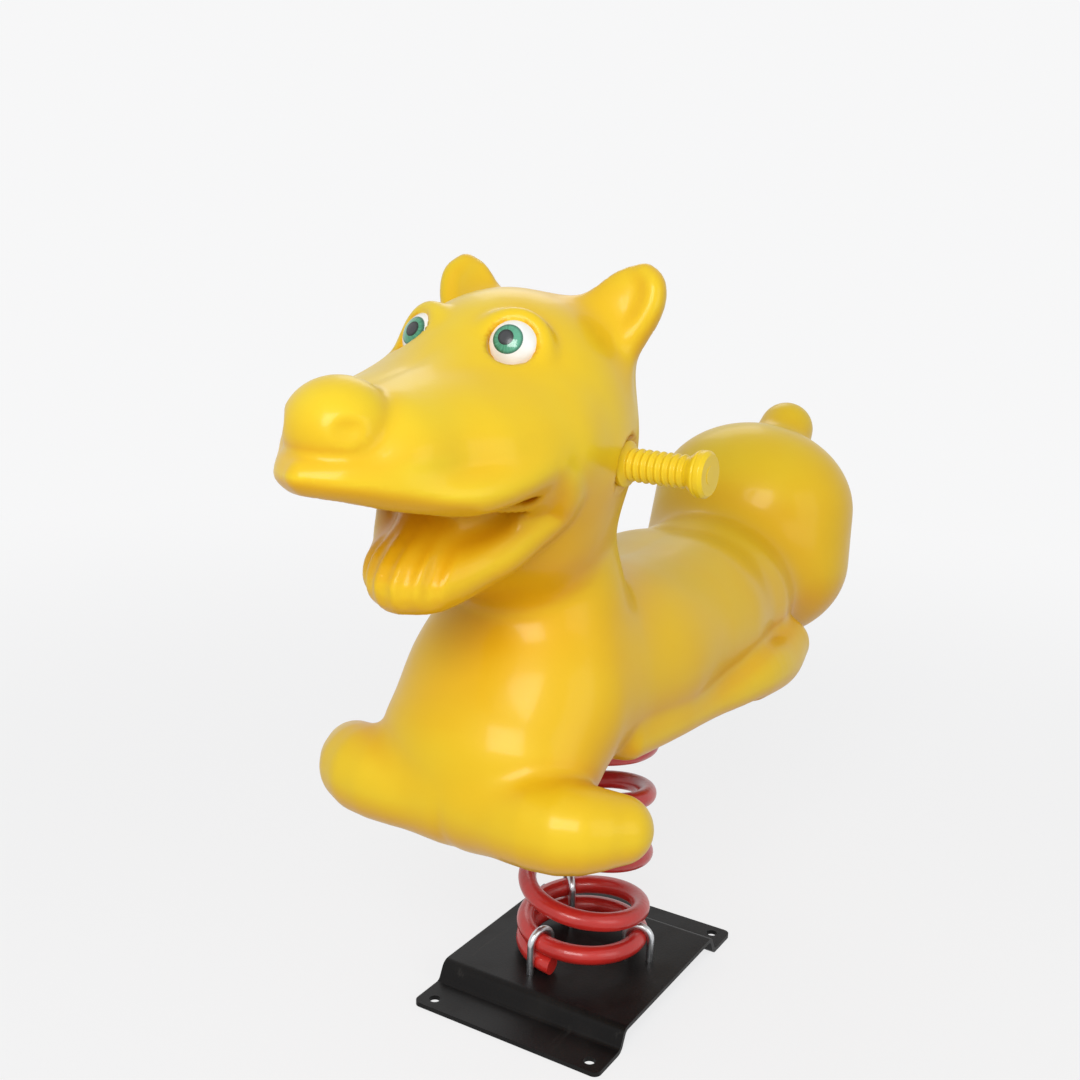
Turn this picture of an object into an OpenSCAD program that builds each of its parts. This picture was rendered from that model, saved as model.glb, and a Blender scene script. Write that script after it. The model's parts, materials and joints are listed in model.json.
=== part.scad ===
// Spring rider: a moulded animal on a coil spring over a bolted base plate.
// The nose points along -Y, the animal's left is +X and the ground is z = 0.

/* [Base plate] */
// Width of the plate, side to side
plate_w = 225; // [200:1:300]
// Length of the plate, front edge to rear edge
plate_l = 320; // [300:1:420]
// Height of the raised middle above the ground
plate_h = 25; // [23:1:45]
// Thickness of the steel sheet
plate_t = 5; // [3:0.5:6]
// Length of the flat raised middle
plate_top_l = 196; // [190:1:220]
// Inside radius of the four bends
bend_r = 6; // [3:0.5:8]
// Angle of the two sloping webs from the ground
web_angle = 65; // [50:1:80]
// Radius of the outer corners in plan
plate_corner_r = 8; // [3:1:14]
// Diameter of an anchor hole
anchor_d = 12; // [8:0.5:14]
// Distance of an anchor hole from the plate's side
anchor_side = 17.5; // [12:0.5:37]
// Distance of an anchor hole from the plate's front or rear edge
anchor_end = 15; // [13:0.5:18]

/* [Spring] */
// Diameter of the spring wire
wire_d = 20; // [16:0.5:23]
// Outer diameter of the coil
coil_od = 147; // [138:1:152]
// Rise of one full turn in the open middle
active_pitch = 69; // [55:1:80]
// Number of open turns at full pitch
active_turns = 2; // [1:1:3]
// Gap between the closed turns at each end
coil_gap = 1; // [0.6:0.1:3]
// Gap between the coil and each plate
seat_gap = 0.3; // [0.3:0.1:1]

/* [U-bolts] */
// Rod diameter
u_rod_d = 8; // [6:0.5:9]
// Gap between the rod and the spring wire
u_gap = 0.4; // [0.3:0.1:1]
// Thread that stands out past each nut
u_stick_out = 3; // [1:0.5:5]
// Width of a nut across its flats
nut_af = 13; // [12:0.5:14]
// Height of a nut
nut_h = 6.5; // [5:0.5:8]
// Outer diameter of a washer
washer_od = 16; // [15:0.5:18]
// Thickness of a washer
washer_t = 1.6; // [1:0.1:2.5]
// Gap round each rod and bolt in its hole
hole_gap = 0.25; // [0.1:0.05:0.5]

/* [Upper plate] */
// Width of the plate under the belly
upper_w = 176; // [172:1:184]
// Length of the plate under the belly
upper_l = 180; // [176:1:190]
// Thickness of the plate
upper_t = 5; // [3:0.5:8]
// Corner radius of the plate
upper_corner_r = 14; // [5:1:20]
// Distance of a body bolt from the plate's side
mount_side = 16; // [13:0.5:18]
// Distance of a body bolt from the plate's front or rear edge
mount_end = 15; // [12:0.5:17]
// Diameter of a body bolt
mount_d = 8; // [6:0.5:9]
// Height of a body bolt's head
mount_head_h = 5.5; // [4:0.5:7]
// Depth of a body bolt in its insert
mount_depth = 18; // [12:1:20]
// Outer diameter of a threaded insert
insert_d = 14; // [12:0.5:16]
// Length of a threaded insert
insert_l = 24; // [22:1:28]
// Thickness of an insert's closed end
insert_end = 2; // [1:0.5:3]

/* [Handle] */
// Diameter of the steel bar through the neck
bar_d = 16; // [12:0.5:18]
// Diameter of a grip between its ribs
grip_d = 26; // [24:0.5:30]
// Height of a rib over the grip
rib_h = 1.5; // [0.5:0.5:3]
// Number of ribs on a grip
rib_count = 8; // [5:1:10]
// Length of a grip with both flanges
grip_l = 84; // [76:1:110]
// Diameter of the inner flange
inner_flange_d = 42; // [36:1:46]
// Diameter of the outer flange
outer_flange_d = 37; // [34:1:44]
// Thickness of each flange
flange_t = 6; // [4:0.5:8]
// Thickness of the grip's end wall that the screw pulls on
end_wall = 6; // [4:0.5:8]
// Diameter of a grip screw
screw_d = 6; // [4:0.5:6]
// Depth of the thread for a grip screw in the bar
screw_l = 18; // [10:1:25]
// Room past the tip of a grip screw
screw_room = 1; // [0.5:0.5:3]
// Diameter of a grip screw's head
screw_head_d = 11; // [9:0.5:12]
// Height of a grip screw's head
screw_head_h = 4; // [3:0.5:5]
// Diameter of the cap over the screw
cap_d = 16; // [14:0.5:18]
// Thickness of the cap
cap_t = 3; // [2:0.5:4]

/* [Eyes] */
// Diameter of an eye white
eye_d = 37; // [30:0.5:42]
// Diameter of an iris
iris_d = 24; // [16:0.5:26]
// Diameter of a pupil
pupil_d = 14; // [6:0.5:15]
// Thickness of the iris and of the pupil
eye_layer = 0.8; // [0.4:0.1:1.2]
// Radius of the dome over an eye
eye_dome_r = 40; // [34:1:60]
// Height of an eye white at its middle
eye_h = 9; // [7:0.5:12]

/* [Body] */
// Wall of the hollow body
wall = 6; // [4:0.5:8]
// Radius of the neck where it joins the head
neck_top_r = 102; // [96:1:106]
// Radius of the neck at its waist
neck_waist_r = 71; // [66:1:80]
// Half height of the saddle at its front
saddle_r = 87; // [82:1:92]
// Half height of the saddle at its rear
saddle_rear_r = 89; // [84:1:94]
// Half depth of the chest, front to back
chest_r = 76; // [70:1:82]
// Half width of the rump
rump_w = 134; // [124:1:140]
// Half length of the rump
rump_l = 111; // [104:1:118]
// Half height of the rump
rump_h = 142; // [132:1:148]
// Radius of the tail at its root
tail_r = 49; // [42:1:54]
// Radius of the tail at its tip
tail_tip_r = 36; // [30:1:42]
// Half width of the skull
skull_w = 112; // [108:1:118]
// Half length of the skull
skull_l = 118; // [110:1:124]
// Half height of the skull
skull_h = 114; // [108:1:120]
// Radius of the muzzle at the brow
brow_r = 68; // [62:1:72]
// Radius of the muzzle behind the nose
muzzle_r = 43; // [39:1:45]
// Half width of the nose
nose_w = 43; // [38:1:46]
// Half width of an ear at its root
ear_r = 34; // [30:1:38]
// Half width of an ear at its tip
ear_tip_r = 27; // [23:1:31]
// Radius of a front paw inside
paw_root_r = 42; // [38:1:46]
// Radius of a front paw at its tip
paw_r = 31; // [27:1:35]
// Gap round the upper plate in its recess
recess_gap = 2; // [1:0.5:4]
// Clear height over the upper plate for the nuts
nut_room = 18; // [16:1:22]
// Clear width round the nuts in their pocket
nut_side_room = 3; // [2:0.5:6]
// Diameter of the vent over the pocket
vent_d = 10; // [6:0.5:14]
// Width of the flat that a handle flange seats on, from the middle
handle_seat_x = 106; // [104:0.5:110]

/* [Hidden] */
$fn = 48;
// Facets round the large, middling and small round forms of the moulded body
large_fn = 22;
mid_fn = 14;
line_fn = 10;
small_fn = 8;
hole_fn = 18;
eps = 0.01;
big = 400;

yellow = "#EDBE35";
red = "#BE2D28";
black = "#262424";
zinc = "#C3C6CA";
brass = "#C8A84B";

// The coil: closed turn, ramp turn, open turns, ramp turn, closed turn
coil_r = (coil_od - wire_d) / 2;
wire_r = wire_d / 2;
closed_rise = wire_d + coil_gap;
ramp_rise = (closed_rise + active_pitch) / 2;
turns = active_turns + 4;
spring_h = 2 * closed_rise + 2 * ramp_rise + active_turns * active_pitch;
coil_z0 = plate_h + seat_gap + wire_r;
coil_start = -90;
rings_per_turn = 24;
wire_sides = 8;

// Levels over the coil: the upper plate's underside and the deck that the body sits on
upper_z = coil_z0 + spring_h + wire_r + seat_gap;
deck_z = upper_z + upper_t;

// Hole spacings of the two plates
anchor_x = plate_w - 2 * anchor_side;
anchor_y = plate_l - 2 * anchor_end;
mount_x = upper_w - 2 * mount_side;
mount_y = upper_l - 2 * mount_end;

// U-bolts: places along the wire, as turns from its end
u_count = 3;
u_first = 15;
u_leg = wire_r + u_gap + u_rod_d / 2;
u_turns = [for (k = [0 : u_count - 1]) (u_first + 360 / u_count * k) / 360];
u_drop = washer_t + nut_h + u_stick_out;

// Rings and pockets of the body, from the U-bolts' reach
nut_reach = coil_r + u_leg + nut_af / sqrt(3);
nut_pocket_r = nut_reach + nut_side_room;
boss_d = insert_d + 2 * wall;
boss_h = insert_l + wall;

// Handle and eyes, placed over the deck
handle_y = -158;
handle_z = 288;
handle_boss_rim = 2;
handle_boss_d = inner_flange_d + 2 * handle_boss_rim;
handle_boss_depth = 46;
rib_share = 0.72;
bar_l = 2 * (handle_seat_x + grip_l - cap_t - screw_head_h - end_wall);
eye_c = [40, -232, 384];
eye_turn = 24;
eye_tilt = 22;
socket_r = 32;
eye_proud = 2;
eye_floor = socket_r - eye_h + eye_proud;
iris_shift = [-2.5, 1.5];

// Sampled points of the wire's middle line
function coil_z(n) =
    n <= 1 ? closed_rise * n :
    n <= 2 ? closed_rise * n + (active_pitch - closed_rise) * pow(n - 1, 2) / 2 :
    n <= 2 + active_turns ? closed_rise + ramp_rise + active_pitch * (n - 2) :
    spring_h - coil_z(turns - n);
function coil_angle(n) = coil_start - 360 * n;
// A U-bolt goes over the next turn too where no rod fits between the two
function u_over(n) =
    coil_z(n + 1) - coil_z(n) < wire_d + u_rod_d + 2 * u_gap ? n + 1 : n;
function coil_point(n) =
    [coil_r * cos(coil_angle(n)), coil_r * sin(coil_angle(n)), coil_z0 + coil_z(n)];
ring_count = turns * rings_per_turn;
wire_line = [for (i = [0 : ring_count]) coil_point(i / rings_per_turn)];
least_gap = min([for (i = [0 : ring_count]) for (j = [i + rings_per_turn / 2 : ring_count])
    norm(wire_line[i] - wire_line[j])]) - wire_d;
echo(least_gap_of_the_spring_to_itself = least_gap);

// Cross-section of the bent base plate, as its upper face and then its lower face
function arc(c, r, a0, a1) =
    [for (i = [0 : 6]) c + r * [cos(a0 + (a1 - a0) * i / 6), sin(a0 + (a1 - a0) * i / 6)]];
bend_m = bend_r + plate_t / 2;
web_l = (plate_h - 2 * plate_t - 2 * bend_r + 2 * bend_m * cos(web_angle)) / sin(web_angle);
web_run = web_l * cos(web_angle) + 2 * bend_m * sin(web_angle);
top_bend = [plate_top_l / 2, plate_h - plate_t - bend_r];
foot_bend = [plate_top_l / 2 + web_run, plate_t + bend_r];
half_upper = concat(arc(top_bend, bend_r + plate_t, 90, 90 - web_angle),
                    arc(foot_bend, bend_r, 270 - web_angle, 270), [[plate_l / 2, plate_t]]);
half_lower = concat(arc(top_bend, bend_r, 90, 90 - web_angle),
                    arc(foot_bend, bend_r + plate_t, 270 - web_angle, 270), [[plate_l / 2, 0]]);
function flip(p) = [for (i = [len(p) - 1 : -1 : 0]) [-p[i][0], p[i][1]]];
function back(p) = [for (i = [len(p) - 1 : -1 : 0]) p[i]];
plate_outline = concat(flip(half_upper), half_upper, back(half_lower),
                       back(flip(half_lower)));

// Middle points of the animal's masses over the deck
neck_top = [0, -165, 280];
neck_waist = [0, -120, 144];
chest = [0, -194, 12];
brisket = [0, -212, -22];
flank = [0, -147, 86];
saddle_front = [0, 0, 57];
saddle_rear = [0, 250, 64];
rump = [0, 400, 116];
rump_lean = 6;
tail_root = [0, 456, 184];
tail_tip = [0, 507, 237];
skull = [0, -180, 320];
brow = [0, -219, 352];
muzzle_tip = [0, -375, 318];
nose = [0, -407, 334];
nostril = [34, -440, 337];
cheek = [62, -235, 302];
throat = [0, -190, 235];
chin = [0, -290, 215];
mouth_front = [0, -292, 202];
mouth_back = [0, -225, 236];
mouth_corner = [93, -248, 285];
mouth_slit = [84, -295, 274];
tongue_tip = [0, -318, 210];
tongue_root = [0, -255, 252];

// Their radii and half sizes, and how much wider than high the stretched ones are
brisket_r = 63;
flank_r = 84;
nose_l = 42;
nose_h = 39;
nostril_size = [17, 14, 12];
cheek_size = [44, 75, 48];
throat_r = 72;
chin_r = 34;
mouth_front_r = 26;
mouth_back_r = 34;
mouth_corner_r = 6;
mouth_slit_r = 11;
tongue_r = 26;
tongue_root_r = 24;
chest_wide = 1.45;
body_wide = 1.29;
muzzle_wide = 1.1;
throat_wide = 1.15;
tongue_wide = 1.5;

// Ears: a flat cup in its own axes, x across, y up and z out of the cup
ear_c = [77, -132, 410];
ear_turn = 14;
ear_tilt = 10;
ear_lean = 36;
ear_root_y = -8;
ear_tip_y = 27;
ear_half_t = 18;
ear_rim = 10;
ear_cup_out = 15;
ear_cup_half_t = 14;

// Flat underside of the body between the front paws and the hind feet
belly_front = -160;
belly_rear = 150;
belly_z = -16;

// Lines of the moulded animal over the deck, as [point, radius]
rail_line = [[[88, -90, 5], 22], [[98, -20, 3], 20], [[104, 60, 1], 20], [[110, 120, 1], 24],
             [[114, 180, 5], 30], [[112, 235, 3], 31], [[103, 285, 10], 31]];
paw_line = [[[30, -231, -27], paw_root_r], [[106, -239, -20], paw_root_r + 1],
            [[148, -210, -25], paw_r]];
lip_line = [[[0, -446, 301], 14], [[24, -430, 298], 14], [[50, -396, 291], 14],
            [[76, -356, 288], 15], [[89, -322, 293], 15], [[94, -285, 302], 15],
            [[92, -245, 314], 14]];
lip_bevel = [[[0, -467, 280], 22], [[34, -448, 277], 22], [[66, -409, 270], 20],
             [[92, -366, 268], 12]];
jaw_line = [[[0, -331, 199], 26], [[21, -316, 200], 25], [[40, -284, 213], 23],
            [[53, -267, 223], 22], [[66, -249, 240], 21], [[80, -230, 257], 19],
            [[87, -223, 274], 16], [[90, -217, 290], 11]];

module on_both_sides() {
    children();
    mirror([1, 0, 0]) children();
}

module rounded_plan(w, l, r) {
    square([w - 2 * r, l], center = true);
    square([w, l - 2 * r], center = true);
    for (sx = [-1, 1], sy = [-1, 1])
        translate([sx * (w / 2 - r), sy * (l / 2 - r)]) circle(r);
}

module at_corners(x, y) {
    for (sx = [-1, 1], sy = [-1, 1])
        translate([sx * x / 2, sy * y / 2, 0]) children();
}

// Places children at every U-bolt leg; up is 1 at the base plate and -1 under the belly
module at_u_bolts(up) {
    for (n = u_turns)
        rotate([0, 0, coil_angle(up > 0 ? n : turns - n)])
            translate([coil_r, 0, 0]) children();
}

module at_u_legs(up) {
    at_u_bolts(up)
        for (s = [-1, 1]) translate([s * u_leg, 0, 0]) children();
}

module u_bolt(arch_z, leg_z, up) {
    translate([0, 0, arch_z]) rotate([90, 0, 0])
        rotate_extrude(angle = up * 180) translate([u_leg, 0]) circle(d = u_rod_d);
    for (s = [-1, 1])
        translate([s * u_leg, 0, min(arch_z, leg_z)])
            cylinder(d = u_rod_d, h = abs(arch_z - leg_z));
}

module u_bolt_set(up, leg_z) {
    for (place = u_turns) {
        n = up > 0 ? u_over(place) : turns - u_over(place);
        rotate([0, 0, coil_angle(n)]) translate([coil_r, 0, 0])
            u_bolt(coil_z0 + coil_z(n), leg_z, up);
    }
}

module washer(od, id) {
    difference() {
        cylinder(d = od, h = washer_t);
        translate([0, 0, -eps]) cylinder(d = id, h = washer_t + 2 * eps);
    }
}

module nut() {
    difference() {
        cylinder(d = nut_af * 2 / sqrt(3), h = nut_h, $fn = 6);
        translate([0, 0, -eps]) cylinder(d = u_rod_d + hole_gap, h = nut_h + 2 * eps);
    }
}

// Base

module base_plate() color(black) difference() {
    intersection() {
        rotate([90, 0, 90]) linear_extrude(plate_w, center = true) polygon(plate_outline);
        linear_extrude(plate_h + eps) rounded_plan(plate_w, plate_l, plate_corner_r);
    }
    at_corners(anchor_x, anchor_y) translate([0, 0, -eps])
        cylinder(d = anchor_d, h = plate_h + 2 * eps);
    at_u_legs(1) translate([0, 0, plate_h - plate_t - eps])
        cylinder(d = u_rod_d + 2 * hole_gap, h = plate_t + 2 * eps);
}

module lower_u_bolts() color(zinc) u_bolt_set(1, plate_h - plate_t - u_drop);

module lower_washers() color(zinc)
    at_u_legs(1) translate([0, 0, plate_h - plate_t - washer_t])
        washer(washer_od, u_rod_d + 2 * hole_gap);

module lower_nuts() color(zinc)
    at_u_legs(1) translate([0, 0, plate_h - plate_t - washer_t - nut_h]) nut();

// Spring

module coil_spring() color(red) {
    points = [for (i = [0 : ring_count]) for (s = [0 : wire_sides - 1])
        let (c = wire_line[i], a = coil_angle(i / rings_per_turn), w = 360 * s / wire_sides)
        c + wire_r * [cos(w) * cos(a), cos(w) * sin(a), sin(w)]];
    sides = [for (i = [0 : ring_count - 1]) for (s = [0 : wire_sides - 1])
        let (p = i * wire_sides + s, q = i * wire_sides + (s + 1) % wire_sides)
        each [[p, q, q + wire_sides], [p, q + wire_sides, p + wire_sides]]];
    last = ring_count * wire_sides;
    ends = [for (s = [1 : wire_sides - 2])
        each [[0, s + 1, s], [last, last + s, last + s + 1]]];
    polyhedron(points, concat(sides, ends));
}

// Upper mounting

module upper_plate() color(black) translate([0, 0, upper_z]) difference() {
    linear_extrude(upper_t) {
        rounded_plan(upper_w, upper_l, upper_corner_r);
        circle(nut_reach);
    }
    at_corners(mount_x, mount_y) translate([0, 0, -eps])
        cylinder(d = mount_d + 2 * hole_gap, h = upper_t + 2 * eps);
    at_u_legs(-1) translate([0, 0, -eps])
        cylinder(d = u_rod_d + 2 * hole_gap, h = upper_t + 2 * eps);
}

module upper_u_bolts() color(zinc) u_bolt_set(-1, deck_z + u_drop);

module upper_washers() color(zinc)
    at_u_legs(-1) translate([0, 0, deck_z]) washer(washer_od, u_rod_d + 2 * hole_gap);

module upper_nuts() color(zinc)
    at_u_legs(-1) translate([0, 0, deck_z + washer_t]) nut();

module mount_bolts() color(zinc)
    at_corners(mount_x, mount_y) translate([0, 0, upper_z - washer_t]) {
        cylinder(d = mount_d, h = washer_t + upper_t + mount_depth);
        translate([0, 0, -mount_head_h])
            cylinder(d = nut_af * 2 / sqrt(3), h = mount_head_h, $fn = 6);
    }

module mount_washers() color(zinc)
    at_corners(mount_x, mount_y) translate([0, 0, upper_z - washer_t])
        washer(washer_od, mount_d + 2 * hole_gap);

module threaded_inserts() color(brass)
    at_corners(mount_x, mount_y) translate([0, 0, deck_z]) difference() {
        cylinder(d = insert_d, h = insert_l);
        translate([0, 0, -eps])
            cylinder(d = mount_d + hole_gap, h = insert_l - insert_end + eps);
    }

// Moulded body

module limb(a, ra, b, rb, wide = 1, fine = mid_fn) {
    scale([wide, 1, 1]) hull() {
        translate([a[0] / wide, a[1], a[2]]) sphere(ra, $fn = fine);
        translate([b[0] / wide, b[1], b[2]]) sphere(rb, $fn = fine);
    }
}

module lump(c, r, fine = mid_fn) {
    translate(c) scale(r) sphere(1, $fn = fine);
}

module tube_line(line, fine = line_fn) {
    for (i = [0 : len(line) - 2])
        limb(line[i][0], line[i][1], line[i + 1][0], line[i + 1][1], 1, fine);
}

module balls(line) {
    for (b = line) translate(b[0]) sphere(b[1], $fn = small_fn);
}

module muzzle_line(t, fine) {
    limb(brow, brow_r - t, muzzle_tip, muzzle_r - t, muzzle_wide, fine);
}

// The large masses, drawn in by a wall for the hollow inside
module masses(t, fine) {
    limb(neck_top, neck_top_r - t, neck_waist, neck_waist_r - t, 1, fine);
    limb(neck_waist, neck_waist_r - t, chest, chest_r - t, chest_wide, fine);
    limb(chest, chest_r - t, brisket, brisket_r - t, chest_wide, fine);
    limb(flank, flank_r - t, saddle_front, saddle_r - t, body_wide, fine);
    limb(saddle_front, saddle_r - t, saddle_rear, saddle_rear_r - t, body_wide, fine);
    rump_ball(t, fine);
    lump(skull, [skull_w - t, skull_l - t, skull_h - t], fine);
    muzzle_line(t, fine);
}

module rump_ball(t, fine) {
    rise = [0, rump_lean, rump_h - rump_l];
    limb(rump + rise, rump_l - t, rump - rise, rump_l - t, rump_w / rump_l, fine);
}

module face() {
    difference() {
        hull() {
            muzzle_line(0, mid_fn);
            on_both_sides() balls(lip_line);
        }
        on_both_sides() tube_line(lip_bevel);
    }
    on_both_sides() tube_line(jaw_line);
    lump(nose, [nose_w, nose_l, nose_h]);
    limb(throat, throat_r, chin, chin_r, throat_wide);
    limb(mouth_front, mouth_front_r, mouth_back, mouth_back_r, tongue_wide);
    limb(tongue_tip, tongue_r, tongue_root, tongue_root_r, tongue_wide);
    on_both_sides() {
        lump(cheek, cheek_size);
        ear();
        lump(eye_c, [socket_r, socket_r, socket_r]);
    }
}

module ear_plate(rim, half_t) {
    hull() {
        lump([0, ear_root_y, 0], [ear_r - rim, ear_r - rim, half_t]);
        lump([0, ear_tip_y, 0], [ear_tip_r - rim, ear_tip_r - rim, half_t]);
    }
}

module ear() {
    looking(ear_c, ear_turn, ear_tilt) rotate([0, 0, -ear_lean]) difference() {
        ear_plate(0, ear_half_t);
        translate([0, 0, ear_cup_out]) ear_plate(ear_rim, ear_cup_half_t);
    }
}

module feet_and_tail() {
    limb(tail_root, tail_r, tail_tip, tail_tip_r);
    on_both_sides() {
        tube_line(rail_line);
        tube_line(paw_line, mid_fn);
    }
}

// Turns z of the children to look forward, turned outward and tilted up
module looking(c, turn, tilt) {
    translate(c) rotate([0, 0, turn]) rotate([90 - tilt, 0, 0]) children();
}

module at_eye(side) {
    mirror([side > 0 ? 0 : 1, 0, 0]) looking(eye_c, eye_turn, eye_tilt) children();
}

module belly_cut(extra) {
    translate([-big, belly_front - extra, -big])
        cube([2 * big, belly_rear - belly_front + 2 * extra, big + belly_z + extra]);
}

module recess() {
    translate([0, 0, -big]) linear_extrude(big)
        rounded_plan(upper_w + 2 * recess_gap, upper_l + 2 * recess_gap, upper_corner_r);
    translate([0, 0, -big]) cylinder(r = nut_pocket_r, h = big + nut_room);
}

// Walls that the hollow must leave round the recess, the inserts and the handle bar
module kept_walls() {
    translate([0, 0, -big]) linear_extrude(big + wall)
        rounded_plan(upper_w + 2 * (recess_gap + wall), upper_l + 2 * (recess_gap + wall),
                     upper_corner_r + wall);
    translate([0, 0, -big])
        cylinder(r = nut_pocket_r + wall, h = big + nut_room + wall);
    at_corners(mount_x, mount_y) cylinder(d = boss_d, h = boss_h);
    handle_bosses();
    belly_cut(wall);
}

module handle_bosses() {
    on_both_sides() translate([handle_seat_x - handle_boss_depth, handle_y, handle_z])
        rotate([0, 90, 0]) cylinder(d = handle_boss_d, h = handle_boss_depth);
}

module rider_shell() color(yellow) translate([0, 0, deck_z]) difference() {
    $fn = hole_fn;
    union() {
        masses(0, large_fn);
        face();
        feet_and_tail();
        handle_bosses();
    }
    difference() {
        masses(wall, mid_fn);
        kept_walls();
    }
    belly_cut(0);
    recess();
    at_corners(mount_x, mount_y) translate([0, 0, -eps])
        cylinder(d = insert_d + hole_gap, h = insert_l + hole_gap);
    cylinder(d = vent_d, h = nut_room + 2 * wall);
    translate([0, handle_y, handle_z]) rotate([0, 90, 0])
        cylinder(d = bar_d + 2 * hole_gap, h = 2 * big, center = true);
    on_both_sides() {
        translate([handle_seat_x, handle_y, handle_z]) rotate([0, 90, 0])
            cylinder(d = handle_boss_d + 2 * handle_boss_rim, h = grip_l);
        limb(mouth_corner, mouth_corner_r, mouth_slit, mouth_slit_r, 1, small_fn);
        lump(nostril, nostril_size, small_fn);
        at_eye(1) translate([0, 0, eye_floor])
            cylinder(d = eye_d + 2 * hole_gap, h = 2 * eye_h);
    }
}

// Handle

module at_handle(side) {
    translate([0, handle_y, deck_z + handle_z])
        mirror([side > 0 ? 0 : 1, 0, 0]) rotate([0, 90, 0]) children();
}

module handle_bar() color(zinc) difference() {
    at_handle(1) cylinder(d = bar_d, h = bar_l, center = true);
    for (s = [-1, 1])
        at_handle(s) translate([0, 0, bar_l / 2 - screw_l])
            cylinder(d = screw_d + hole_gap, h = screw_l + eps);
}

module grip(side) {
    rib_room = grip_l - 2 * flange_t;
    rib_pitch = rib_room / rib_count;
    rib_half = rib_share * rib_pitch / 2;
    at_handle(side) translate([0, 0, handle_seat_x]) difference() {
        union() {
            cylinder(d = grip_d, h = grip_l);
            cylinder(d = inner_flange_d, h = flange_t);
            translate([0, 0, grip_l - flange_t]) cylinder(d = outer_flange_d, h = flange_t);
            for (i = [0 : rib_count - 1])
                translate([0, 0, flange_t + rib_pitch * (i + 0.5)]) rotate_extrude()
                    intersection() {
                        translate([grip_d / 2, 0]) scale([rib_h, rib_half]) circle(1);
                        translate([0, -rib_pitch]) square([grip_d, 2 * rib_pitch]);
                    }
        }
        translate([0, 0, -eps])
            cylinder(d = bar_d + hole_gap, h = grip_l - cap_t - screw_head_h - end_wall + eps);
        cylinder(d = screw_d + 2 * hole_gap, h = grip_l);
        translate([0, 0, grip_l - cap_t - screw_head_h])
            cylinder(d = cap_d + hole_gap, h = cap_t + screw_head_h + eps);
    }
}

module left_grip() color(yellow) grip(1);
module right_grip() color(yellow) grip(-1);

module grip_screws() color(zinc) for (s = [-1, 1])
    at_handle(s) translate([0, 0, bar_l / 2]) {
        translate([0, 0, end_wall]) cylinder(d = screw_head_d, h = screw_head_h - hole_gap);
        translate([0, 0, screw_room - screw_l])
            cylinder(d = screw_d, h = screw_l - screw_room + end_wall + eps);
    }

module grip_caps() color(yellow) for (s = [-1, 1])
    at_handle(s) translate([0, 0, handle_seat_x + grip_l - cap_t]) cylinder(d = cap_d, h = cap_t);

// Eyes, as a domed white with two thin discs on it

module eye_dome(extra) {
    translate([0, 0, eye_floor + eye_h - eye_dome_r]) sphere(eye_dome_r + extra);
}

module eye_white(side) color("white") translate([0, 0, deck_z]) at_eye(side)
    intersection() {
        eye_dome(0);
        translate([0, 0, eye_floor]) cylinder(d = eye_d, h = 2 * eye_h);
    }

module eye_disc(side, d, layer) translate([0, 0, deck_z]) at_eye(side)
    intersection() {
        difference() {
            eye_dome(eye_layer * (layer + 1));
            eye_dome(eye_layer * layer);
        }
        translate([iris_shift[0], iris_shift[1], eye_floor]) cylinder(d = d, h = 2 * eye_h);
    }

module left_eye_white() eye_white(1);
module right_eye_white() eye_white(-1);
module left_iris() color("seagreen") eye_disc(1, iris_d, 0);
module right_iris() color("seagreen") eye_disc(-1, iris_d, 0);
module left_pupil() color(black) eye_disc(1, pupil_d, 1);
module right_pupil() color(black) eye_disc(-1, pupil_d, 1);

base_plate();
lower_u_bolts();
lower_washers();
lower_nuts();
coil_spring();
upper_plate();
upper_u_bolts();
upper_washers();
upper_nuts();
mount_bolts();
mount_washers();
threaded_inserts();
rider_shell();
handle_bar();
left_grip();
right_grip();
grip_screws();
grip_caps();
left_eye_white();
left_iris();
left_pupil();
right_eye_white();
right_iris();
right_pupil();
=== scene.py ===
# %% [markdown]
# A spring rider for a playground
#
# The real object is a hollow animal moulded in yellow plastic. It stands on one red coil
# spring, which three U-bolts clamp to a bent steel plate, and three more clamp to a plate
# under the belly. We load the imported solids first, because every piece in this lesson is
# made to fit round them.

# %% Load the solids
import json
import math
import bpy
import bmesh
import numpy as np
from mathutils import Matrix, Vector

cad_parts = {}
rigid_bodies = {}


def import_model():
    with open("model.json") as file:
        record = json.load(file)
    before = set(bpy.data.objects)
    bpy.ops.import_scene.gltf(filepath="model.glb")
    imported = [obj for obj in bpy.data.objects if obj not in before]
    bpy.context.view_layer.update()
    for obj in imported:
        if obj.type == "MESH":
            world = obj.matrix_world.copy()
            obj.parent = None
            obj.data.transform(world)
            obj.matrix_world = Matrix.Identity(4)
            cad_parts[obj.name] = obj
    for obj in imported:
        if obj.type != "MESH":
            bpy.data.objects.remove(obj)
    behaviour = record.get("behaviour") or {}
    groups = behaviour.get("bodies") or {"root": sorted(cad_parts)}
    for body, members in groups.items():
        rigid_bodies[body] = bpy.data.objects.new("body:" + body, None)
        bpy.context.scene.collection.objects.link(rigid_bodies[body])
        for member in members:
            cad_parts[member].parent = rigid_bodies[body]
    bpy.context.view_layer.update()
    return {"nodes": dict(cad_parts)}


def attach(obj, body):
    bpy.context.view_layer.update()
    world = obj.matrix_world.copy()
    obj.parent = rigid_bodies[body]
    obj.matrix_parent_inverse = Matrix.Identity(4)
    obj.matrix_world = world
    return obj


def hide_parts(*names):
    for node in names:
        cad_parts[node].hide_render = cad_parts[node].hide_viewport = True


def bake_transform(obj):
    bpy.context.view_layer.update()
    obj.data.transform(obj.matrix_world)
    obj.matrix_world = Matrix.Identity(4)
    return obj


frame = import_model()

scene = bpy.context.scene

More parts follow.
